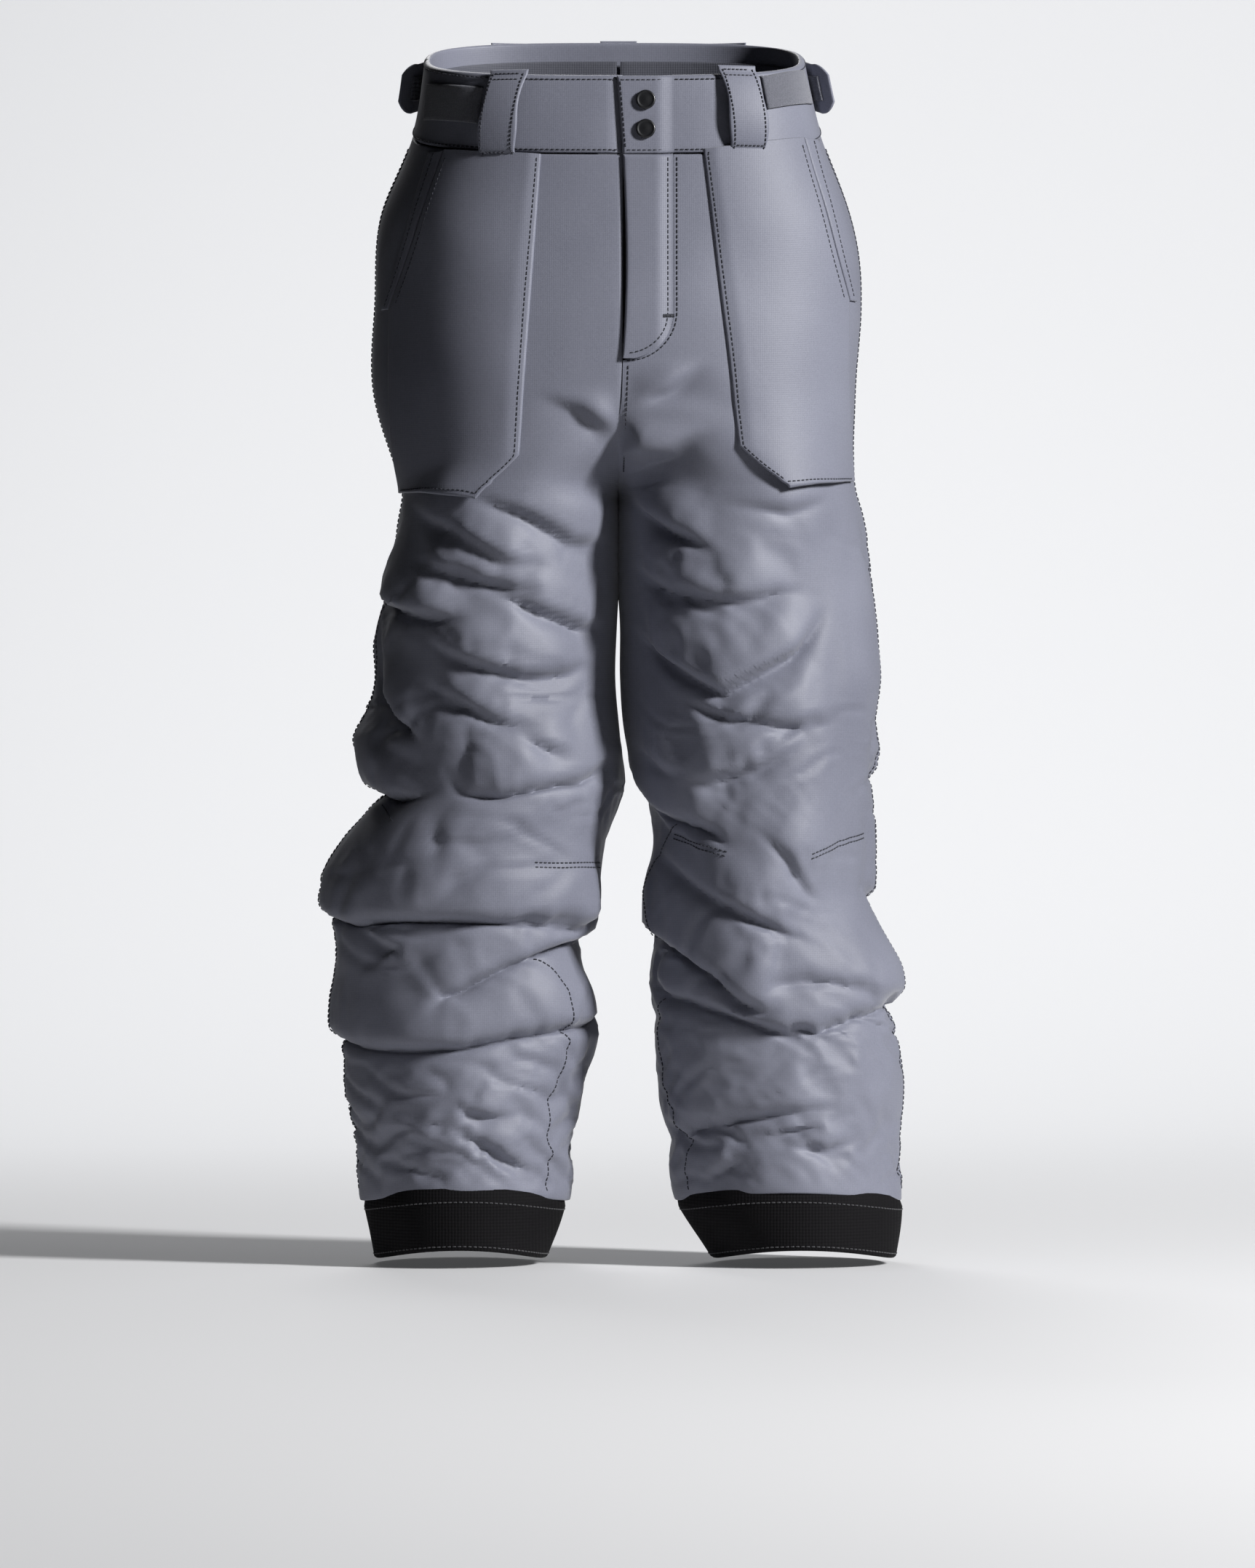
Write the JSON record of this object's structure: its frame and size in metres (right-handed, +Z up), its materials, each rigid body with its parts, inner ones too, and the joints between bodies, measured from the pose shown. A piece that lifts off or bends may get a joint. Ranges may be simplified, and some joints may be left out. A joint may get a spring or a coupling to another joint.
{
  "type": "ski pants",
  "caption": "Insulated youth ski pants, worn shape, with snap and zip fly, waist adjuster tabs, thigh patch pockets, belt loops, boot gaiters and black hem guards.",
  "frame": {"origin": "centre of the waist opening, at the level of the waistband's top at the sides", "axes": "+Z up the wearer, +X to the wearer's left, -Y to the front"},
  "size_m": [0.3767, 0.2372, 0.81],
  "materials": {
    "shell": "smooth matte blue-grey woven shell",
    "lining": "dark plain woven lining",
    "hem_guard": "heavy black woven nylon",
    "elastic": "ribbed black elastic",
    "loop_pile": "fuzzy loop pile",
    "hook": "hook tape",
    "snap": "black snap cap",
    "zip": "black moulded zip on woven tape"
  },
  "bodies": {
    "trousers": {"right_front_panel": "shell", "right_back_panel": "shell", "waistband_right": "shell", "right_patch_pocket": "shell", "right_pocket_welt": "shell", "right_lining": "lining", "right_boot_gaiter": "lining", "right_pocket_bag": "lining", "right_hem_guard": "hem_guard", "right_gaiter_elastic": "elastic", "right_landing_patch": "loop_pile", "zip_tape_right": "zip", "left_front_panel": "shell", "left_back_panel": "shell", "waistband_left": "shell", "left_patch_pocket": "shell", "left_pocket_welt": "shell", "left_lining": "lining", "left_boot_gaiter": "lining", "left_pocket_bag": "lining", "left_hem_guard": "hem_guard", "left_gaiter_elastic": "elastic", "left_landing_patch": "loop_pile", "zip_tape_left": "zip", "waistband_back": "shell", "waistband_underlap": "shell", "fly_underlap": "shell", "zip_bottom_stop": "zip", "snap_stud_upper": "snap", "snap_stud_lower": "snap", "belt_loop_front_right": "shell", "belt_loop_front_left": "shell", "belt_loop_back_right": "shell", "belt_loop_back_left": "shell", "belt_loop_back_centre": "shell"},
    "fly_flap": {"waistband_overlap": "shell", "fly_placket": "shell", "snap_cap_upper": "snap", "snap_cap_lower": "snap", "snap_socket_upper": "snap", "snap_socket_lower": "snap"},
    "zip_slider": {"zip_slider": "zip"},
    "zip_pull": {"zip_pull": "zip"},
    "right_waist_tab": {"right_waist_tab": "shell", "right_hook_patch": "hook"},
    "left_waist_tab": {"left_waist_tab": "shell", "left_hook_patch": "hook"}
  },
  "joints": [
    {"name": "fly_flap_swing", "type": "hinge", "parent": "trousers", "child": "fly_flap", "pos_m": [0.0367, -0.1028, -0.1118], "axis": [0.0017, 0.104, 0.9946], "range_deg": [0, 110]},
    {"name": "zip_slide", "type": "slide", "parent": "trousers", "child": "zip_slider", "axis": [0.0087, -0.1054, -0.9944], "range_m": [0, 0.096]},
    {"name": "zip_pull_tip", "type": "hinge", "parent": "zip_slider", "child": "zip_pull", "pos_m": [0.01037, -0.09372, -0.0838], "axis": [-1, 0, 0], "range_deg": [0, 10]},
    {"name": "right_tab_peel", "type": "hinge", "parent": "trousers", "child": "right_waist_tab", "pos_m": [-0.0932, 0.0899, -0.0055], "axis": [0, 0, -1], "range_deg": [0, 75]},
    {"name": "left_tab_peel", "type": "hinge", "parent": "trousers", "child": "left_waist_tab", "pos_m": [0.0909, 0.0899, -0.0055], "axis": [0, 0, 1], "range_deg": [0, 75]}
  ]
}
